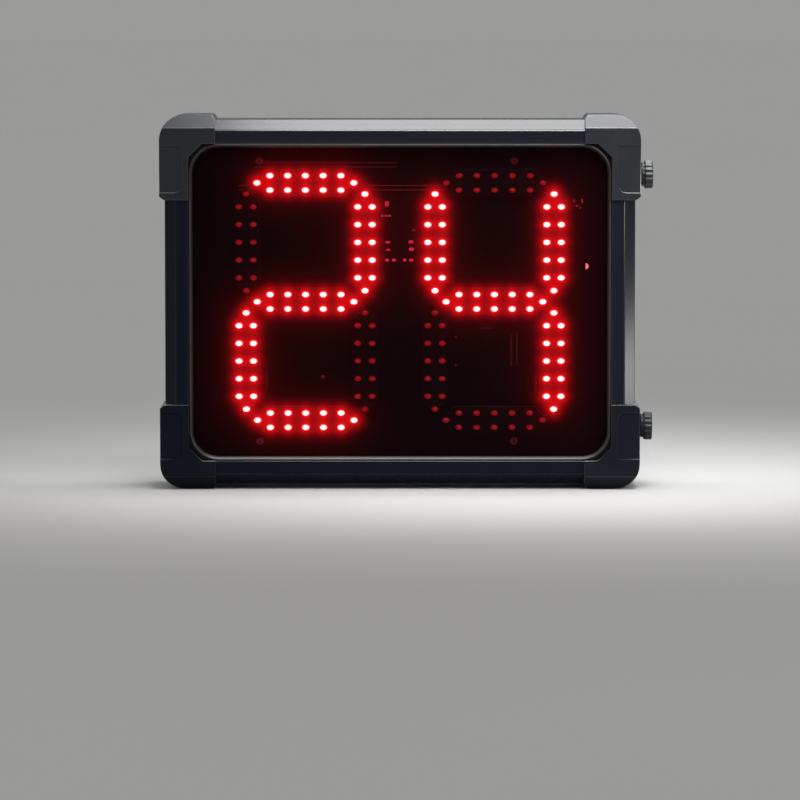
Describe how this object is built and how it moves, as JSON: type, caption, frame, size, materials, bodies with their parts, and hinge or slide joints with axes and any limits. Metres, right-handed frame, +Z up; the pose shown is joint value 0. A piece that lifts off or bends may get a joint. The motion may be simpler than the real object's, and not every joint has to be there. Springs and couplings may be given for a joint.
{
  "type": "shot clock",
  "caption": "Wall-hung shot clock with red seven-segment lamp digits behind a tinted filter, in a rail casing with moulded corners and side thumb knobs.",
  "frame": {"origin": "under the middle of the whole object, knobs included, on the surface that its two feet stand on", "axes": "+X to the right as the display is read, -Y out of the display, +Y out of the back panel, +Z up"},
  "size_m": [0.3858, 0.07, 0.293],
  "materials": {
    "rail": "black anodised, satin",
    "corner": "moulded, fine grain",
    "gasket": "semi-gloss",
    "filter": "polished, deep red tint",
    "board": "black solder mask",
    "lamps": "red diffused lenses in black holders",
    "panel": "black coated sheet",
    "knob": "moulded, satin",
    "steel": "zinc plated",
    "brass": "turned",
    "black_plastic": "moulded, semi-gloss",
    "cage": "galvanised sheet",
    "circuit": "green solder mask",
    "cable": "matt sheath",
    "ribbon": "grey flat cable"
  },
  "bodies": {
    "casing": {"top_rail": "rail", "bottom_rail": "rail", "left_rail": "rail", "right_rail": "rail", "top_left_corner": "corner", "top_right_corner": "corner", "bottom_left_corner": "corner", "bottom_right_corner": "corner", "filter_gasket": "gasket", "front_filter": "filter", "display_board": "board", "top_left_board_standoff": "brass", "top_right_board_standoff": "brass", "bottom_left_board_standoff": "brass", "bottom_right_board_standoff": "brass", "left_digit_segment_a": "lamps", "left_digit_segment_b": "lamps", "left_digit_segment_c": "lamps", "left_digit_segment_d": "lamps", "left_digit_segment_e": "lamps", "left_digit_segment_f": "lamps", "left_digit_segment_g": "lamps", "right_digit_segment_a": "lamps", "right_digit_segment_b": "lamps", "right_digit_segment_c": "lamps", "right_digit_segment_d": "lamps", "right_digit_segment_e": "lamps", "right_digit_segment_f": "lamps", "right_digit_segment_g": "lamps", "back_panel": "panel", "upper_knob_bush": "brass", "lower_knob_bush": "brass", "power_inlet": "black_plastic", "inlet_line_pin": "steel", "inlet_neutral_pin": "steel", "inlet_earth_pin": "steel", "switch_housing": "black_plastic", "power_supply": "cage", "supply_terminals": "black_plastic", "control_board": "circuit", "radio_receiver": "circuit", "buzzer": "black_plastic", "mains_lead": "cable", "switched_lead": "cable", "supply_lead": "cable", "buzzer_lead": "cable", "display_ribbon": "ribbon"},
    "upper_washer": {"upper_knob_washer": "steel"},
    "upper_knob": {"upper_knob": "knob", "upper_knob_stud": "steel"},
    "lower_washer": {"lower_knob_washer": "steel"},
    "lower_knob": {"lower_knob": "knob", "lower_knob_stud": "steel"},
    "rocker": {"power_rocker": "black_plastic"}
  },
  "joints": [
    {"name": "upper_knob_travel", "type": "slide", "parent": "casing", "child": "upper_washer", "axis": [1, 0, 0], "range_m": [0, 0.00601]},
    {"name": "upper_knob_turn", "type": "hinge", "parent": "upper_washer", "child": "upper_knob", "pos_m": [0.18705, 0, 0.2455], "axis": [1, 0, 0], "range_deg": [0, 2160]},
    {"name": "lower_knob_travel", "type": "slide", "parent": "casing", "child": "lower_washer", "axis": [1, 0, 0], "range_m": [0, 0.00601]},
    {"name": "lower_knob_turn", "type": "hinge", "parent": "lower_washer", "child": "lower_knob", "pos_m": [0.18705, 0, 0.0475], "axis": [1, 0, 0], "range_deg": [0, 2160]},
    {"name": "rocker_tilt", "type": "hinge", "parent": "casing", "child": "rocker", "pos_m": [0.05655, 0.0292, 0.052], "axis": [1, 0, 0], "range_deg": [-18, 0]}
  ],
  "couplings": [
    {"joint": "upper_knob_travel", "follows": "upper_knob_turn", "m_per_rad": 0.00015915},
    {"joint": "lower_knob_travel", "follows": "lower_knob_turn", "m_per_rad": 0.00015915}
  ]
}
